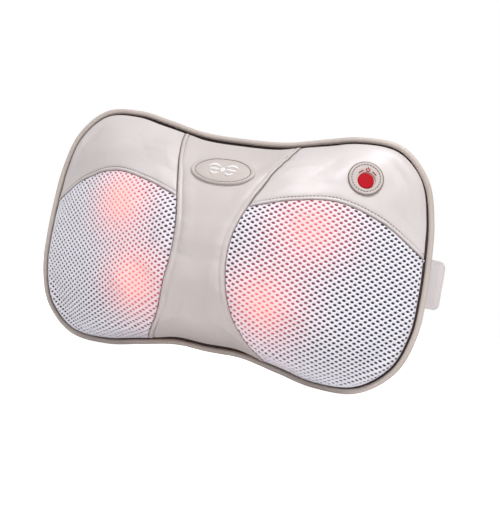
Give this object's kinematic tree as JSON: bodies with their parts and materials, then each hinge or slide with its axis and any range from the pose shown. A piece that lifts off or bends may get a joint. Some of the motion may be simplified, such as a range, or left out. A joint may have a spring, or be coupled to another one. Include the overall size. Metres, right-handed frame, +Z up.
{
  "type": "shiatsu neck massager",
  "caption": "Butterfly-shaped padded neck massage pillow with mesh windows, heated counter-rotating massage nodes, a push button, a back strap and a zipped cover.",
  "frame": {"origin": "level with the two lower lobes of the upright pillow, below the middle of its bounding box", "axes": "+X to the pillow's right as seen from the front, +Y to its back (strap side), +Z up"},
  "size_m": [0.3468, 0.1179, 0.2037],
  "materials": {
    "cover_leather": "soft champagne synthetic leather, fine grain, satin sheen",
    "piping_leather": "the same leather wrapped round a cord",
    "mesh_fabric": "white air mesh with rows of oval holes",
    "lining_fabric": "plain woven polyester",
    "patch_leather": "satin grey beige",
    "red_button": "satin red",
    "foam": "open cell foam",
    "housing_plastic": "moulded ABS",
    "gear_plastic": "natural acetal",
    "node_plastic": "translucent red",
    "lamp_glass": "clear lamp glass, lit",
    "brass": "machined",
    "steel": "zinc plated",
    "zipper_metal": "polished nickel",
    "circuit_board": "green solder mask",
    "black_plastic": "satin"
  },
  "bodies": {
    "cushion": {"back_foam": "foam", "back_lower_panel": "lining_fabric", "back_upper_panel": "lining_fabric", "badge_plate": "patch_leather", "button_patch": "patch_leather", "button_spring": "steel", "control_board": "circuit_board", "dc_jack": "black_plastic", "foam_ring": "foam", "front_center_band": "cover_leather", "front_housing": "housing_plastic", "front_piping": "piping_leather", "gusset_bottom": "cover_leather", "gusset_left": "cover_leather", "gusset_right": "cover_leather", "gusset_top": "cover_leather", "housing_screw_1": "steel", "housing_screw_2": "steel", "housing_screw_3": "steel", "housing_screw_4": "steel", "left_brush_block": "black_plastic", "left_compound_pin": "steel", "left_mesh_panel": "mesh_fabric", "left_rotor_axle": "steel", "motor_can": "steel", "motor_cradle": "black_plastic", "power_lead": "black_plastic", "rear_housing": "housing_plastic", "rear_piping": "piping_leather", "right_brush_block": "black_plastic", "right_compound_pin": "steel", "right_mesh_panel": "mesh_fabric", "right_rotor_axle": "steel", "strap_elastic": "lining_fabric", "strap_left": "cover_leather", "strap_right": "cover_leather", "switch_housing": "black_plastic", "upper_left_panel": "cover_leather", "upper_right_panel": "cover_leather", "worm_bush": "brass", "zipper_coil": "black_plastic", "zipper_tape": "lining_fabric"},
    "right_rotor": {"right_lower_lamp": "lamp_glass", "right_lower_node": "node_plastic", "right_output_gear": "gear_plastic", "right_rotor_arm": "housing_plastic", "right_upper_lamp": "lamp_glass", "right_upper_node": "node_plastic"},
    "left_rotor": {"left_lower_lamp": "lamp_glass", "left_lower_node": "node_plastic", "left_output_gear": "gear_plastic", "left_rotor_arm": "housing_plastic", "left_upper_lamp": "lamp_glass", "left_upper_node": "node_plastic"},
    "right_compound": {"right_compound_gear": "gear_plastic"},
    "left_compound": {"left_compound_gear": "gear_plastic"},
    "worm": {"motor_worm": "brass"},
    "button": {"power_button": "red_button"},
    "zip_slider": {"zipper_slider": "zipper_metal"},
    "zip_pull": {"zipper_pull": "zipper_metal"}
  },
  "joints": [
    {"name": "right_rotor_spin", "type": "hinge", "parent": "cushion", "child": "right_rotor", "pos_m": [0.0674, 0, 0.09134], "axis": [0, 1, 0], "continuous": true},
    {"name": "left_rotor_spin", "type": "hinge", "parent": "cushion", "child": "left_rotor", "pos_m": [-0.0674, 0, 0.09134], "axis": [0, 1, 0], "continuous": true},
    {"name": "right_compound_spin", "type": "hinge", "parent": "cushion", "child": "right_compound", "pos_m": [0.0194, 0.01, 0.09134], "axis": [0, 1, 0], "continuous": true},
    {"name": "left_compound_spin", "type": "hinge", "parent": "cushion", "child": "left_compound", "pos_m": [-0.0194, 0.01, 0.09134], "axis": [0, 1, 0], "continuous": true},
    {"name": "worm_spin", "type": "hinge", "parent": "cushion", "child": "worm", "pos_m": [0, 0.014, 0.09134], "axis": [0, 0, 1], "continuous": true},
    {"name": "button_press", "type": "slide", "parent": "cushion", "child": "button", "axis": [-0.3285, 0.901, -0.2833], "range_m": [0, 0.0015], "stiffness_N_per_m": 800, "springref_m": -0.0005, "deforming": ["button_spring"]},
    {"name": "zipper_slide", "type": "slide", "parent": "cushion", "child": "zip_slider", "axis": [-1, 0, 0], "range_m": [0, 0.236]},
    {"name": "pull_flip", "type": "hinge", "parent": "zip_slider", "child": "zip_pull", "pos_m": [0.118, 0.054, 0.04194], "axis": [0, 0, 1], "range_deg": [-180, 0]}
  ],
  "couplings": [
    {"joint": "left_rotor_spin", "follows": "right_rotor_spin", "ratio": -1},
    {"joint": "right_compound_spin", "follows": "right_rotor_spin", "ratio": -4},
    {"joint": "left_compound_spin", "follows": "right_rotor_spin", "ratio": 4},
    {"joint": "worm_spin", "follows": "right_rotor_spin", "ratio": 144}
  ]
}
